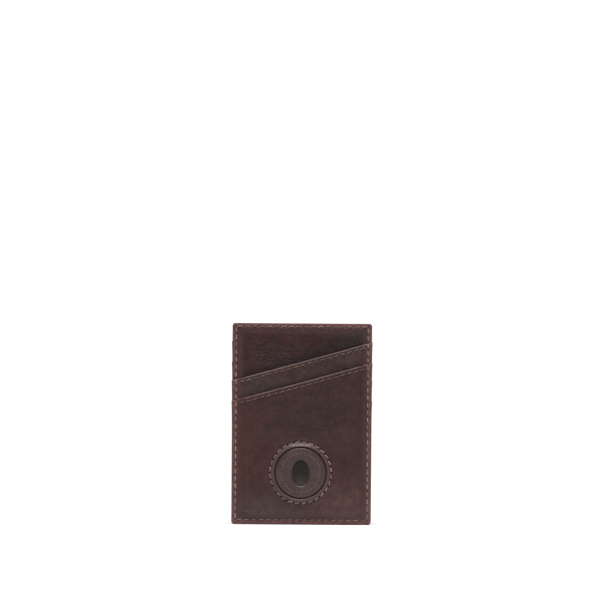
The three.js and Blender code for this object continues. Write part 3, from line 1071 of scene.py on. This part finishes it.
def patch_leather():
    """The thin patch behind the medallion, its rough side out."""
    material, tree, leather = new_material("patch_leather")
    fibres = noise(tree, millimetres(tree), 3.0, 5.0, 0.7)
    colour = tint(
        tree, between(tree, fibres, 0.3, 0.7), (0.010, 0.005, 0.005, 1), (0.022, 0.010, 0.009, 1))
    tree.links.new(colour, leather.inputs["Base Color"])
    leather.inputs["Roughness"].default_value = 0.85
    tree.links.new(raised(tree, fibres, 0.6, 0.12), leather.inputs["Normal"])
    return material


def oval_enamel():
    """The dark plate in the middle of the medallion, with painted light on its lower part, its
    top left dark as painted shade under the recess's upper wall.
    """
    material, tree, plate = new_material("oval_enamel")
    worn = noise(tree, millimetres(tree), 1.2, 4.0, 0.6)
    colour = tint(
        tree, between(tree, worn, 0.4, 0.75), (0.008, 0.0045, 0.004, 1),
        (0.018, 0.010, 0.009, 1))
    # Painted light on the lower part of the oval; its top stays dark as painted shade under the
    # recess's upper wall.
    foot = spot(tree, (DISC_X, -DISC_FRONT, DISC_Z - 6), (5.5, 6, 6.5))
    colour = tint(tree, sums(tree, "MULTIPLY", foot, 0.8), colour, (0.046, 0.032, 0.029, 1))
    tree.links.new(colour, plate.inputs["Base Color"])
    plate.inputs["Specular IOR Level"].default_value = 0.3
    shine = between(tree, worn, 0.3, 0.7, 0.35, 0.5)
    tree.links.new(shine, plate.inputs["Roughness"])
    tree.links.new(raised(tree, worn, 0.15, 0.05), plate.inputs["Normal"])
    return material


def woven_lining():
    """Plain-woven dark cloth, with painted shade between its yarns."""
    material, tree, cloth = new_material("woven_lining")
    place = millimetres(tree)
    warp, weft = (
        add(tree, "ShaderNodeTexWave", {
            "Vector": place, "Scale": 0.9, "Distortion": 0.4, "Detail Scale": 2.0,
        }, bands_direction=way).outputs["Fac"]
        for way in "XZ")
    weave = sums(tree, "MULTIPLY", warp, weft)
    # Darker between the yarns: painted shade.
    colour = tint(tree, weave, (0.010, 0.007, 0.006, 1), (0.035, 0.024, 0.021, 1))
    tree.links.new(colour, cloth.inputs["Base Color"])
    cloth.inputs["Roughness"].default_value = 0.8
    cloth.inputs["Sheen Weight"].default_value = 0.2
    tree.links.new(raised(tree, weave, 0.5, 0.08), cloth.inputs["Normal"])
    return material


def waxed_thread():
    """Two-ply waxed thread, a little different from stitch to stitch, with painted shade in the
    groove between its plies.
    """
    material, tree, thread = new_material("waxed_thread")
    run = sums(tree, "MULTIPLY", share_of(tree, "ply_run"), 5.2)
    twist = sums(
        tree, "SUBTRACT",
        sums(tree, "MULTIPLY", share_of(tree, "ply_x"), sums(tree, "COSINE", run)),
        sums(tree, "MULTIPLY", share_of(tree, "ply_y"), sums(tree, "SINE", run)))
    plies = between(tree, sums(tree, "ABSOLUTE", twist), 0.0, 0.6)
    tone = share_of(tree, "tone")
    light = tint(tree, tone, (0.09, 0.052, 0.043, 1), (0.33, 0.235, 0.205, 1))
    # Painted shade in the groove between the two plies.
    colour = tint(tree, between(tree, plies, 0.0, 1.0, 0.45, 1.0), (0.05, 0.028, 0.022, 1), light)
    fuzz = noise(tree, millimetres(tree), 9.0, 3.0, 0.6)
    colour = tint(tree, between(tree, fuzz, 0.3, 0.7, 0.0, 0.3), colour, (0.08, 0.045, 0.037, 1))
    tree.links.new(colour, thread.inputs["Base Color"])
    thread.inputs["Roughness"].default_value = 0.55
    normal = raised(tree, plies, 0.7, 0.09)
    tree.links.new(raised(tree, fuzz, 0.25, 0.04, normal), thread.inputs["Normal"])
    return material


def studio_floor():
    material, _, floor = new_material("studio_floor")
    floor.inputs["Base Color"].default_value = (0.94, 0.94, 0.94, 1)
    floor.inputs["Roughness"].default_value = 0.9
    floor.inputs["Specular IOR Level"].default_value = 0.1
    return material


# ------------------------------------------------------------------ make the wallet

edge = painted_edge()
leathers = {
    "body": cover_leather(), "upper": upper_pocket_leather(), "lower": lower_pocket_leather(),
}
lining = woven_lining()
thread = waxed_thread()
stitch = stitch_template()
draw = random.Random(7)

for side, side_seed in (("front", 0.4), ("back", 2.9)):
    layers = {}
    for step, name in enumerate(("body", "upper", "lower")):
        seed = side_seed + 1.7 * step
        layers[name] = Layer(side, name, seed)
        make_leather(side, name, seed, [leathers[name], edge])
        make_lining(side, name + "_cloth", seed, lining)
    make_seam(
        f"perimeter_stitches_{side}", f"perimeter_thread_{side}", side, layers,
        perimeter_holes(), stitch, thread, draw)
    make_seam(
        f"{side}_top_stitches", f"{side}_top_thread", side, layers,
        top_holes(), stitch, thread, draw)
    for name in ("upper", "lower"):
        make_seam(
            f"{side}_{name}_mouth_stitches", f"{side}_{name}_mouth_thread", side, layers,
            mouth_holes(name), stitch, thread, draw, 0.45)
    if side == "front":
        make_seam(
            "window_stitches", "window_thread", side, layers,
            window_holes(), stitch, thread, draw, 1.5, 0.28)

make_disc(medallion_leather())
make_inlay(oval_enamel())
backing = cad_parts["medallion_backing"]
backing.data.materials.clear()
backing.data.materials.append(patch_leather())
bpy.data.meshes.remove(stitch)


# ------------------------------------------------------------------ the studio

CAMERA_DISTANCE = 2500
FRAME_WIDTH = 300.2
CAMERA_ROLL = math.radians(0.42)
CENTRE_IN_VIEW = (0.85, -62.1)
SENSOR_WIDTH = 36
FLOOR_RADIUS = 0.7
# The background is seen bright, but lights the wallet only a little.
SEEN_BRIGHTNESS, LIT_BRIGHTNESS = 1.1, 0.07

camera_data = bpy.data.cameras.new("camera")
camera_data.sensor_width = SENSOR_WIDTH
camera_data.lens = SENSOR_WIDTH * CAMERA_DISTANCE / FRAME_WIDTH
camera_data.clip_end = 50
camera = bpy.data.objects.new("camera", camera_data)
bpy.context.scene.collection.objects.link(camera)
turned = Matrix.Rotation(CAMERA_ROLL, 2) @ Vector(CENTRE_IN_VIEW)
camera.location = (
    -turned.x * MM, -(CAMERA_DISTANCE + DISC_FRONT) * MM, (HEIGHT / 2 - turned.y) * MM)
camera.rotation_euler = (math.pi / 2, -CAMERA_ROLL, 0)
bpy.context.scene.camera = camera

floor_mesh = bpy.data.meshes.new("studio_floor")
floor_bm = bmesh.new()
bmesh.ops.create_circle(floor_bm, cap_ends=True, segments=96, radius=FLOOR_RADIUS)
floor_bm.to_mesh(floor_mesh)
floor_bm.free()
floor_mesh.materials.append(studio_floor())
floor = bpy.data.objects.new("studio_floor", floor_mesh)
floor.location.z = cad_low.z - 0.0001
bpy.context.scene.collection.objects.link(floor)


def soft_light(name, location, target, size, power):
    data = bpy.data.lights.new(name, "AREA")
    data.shape = "RECTANGLE"
    data.size, data.size_y = size
    data.energy = power
    light = bpy.data.objects.new(name, data)
    light.location = location
    light.rotation_euler = (Vector(target) - Vector(location)).to_track_quat("-Z", "Y").to_euler()
    bpy.context.scene.collection.objects.link(light)


soft_light("overhead", (-0.03, -0.8, 2.4), (0, 0, 0), (1.6, 1.6), 95)
soft_light("back_fill", (0.6, 1.9, 1.5), (0, 0, 0.05), (1.2, 1.2), 16)

world = bpy.data.worlds.new("studio")
bpy.context.scene.world = world
world.use_nodes = True
world_tree = world.node_tree
background = world_tree.nodes["Background"]
background.inputs["Color"].default_value = (1, 1, 1, 1)
seen = add(world_tree, "ShaderNodeLightPath").outputs["Is Camera Ray"]
brightness = add(world_tree, "ShaderNodeMapRange", {
    "Value": seen, "To Min": LIT_BRIGHTNESS, "To Max": SEEN_BRIGHTNESS})
world_tree.links.new(brightness.outputs["Result"], background.inputs["Strength"])
bpy.context.scene.view_settings.view_transform = "Standard"
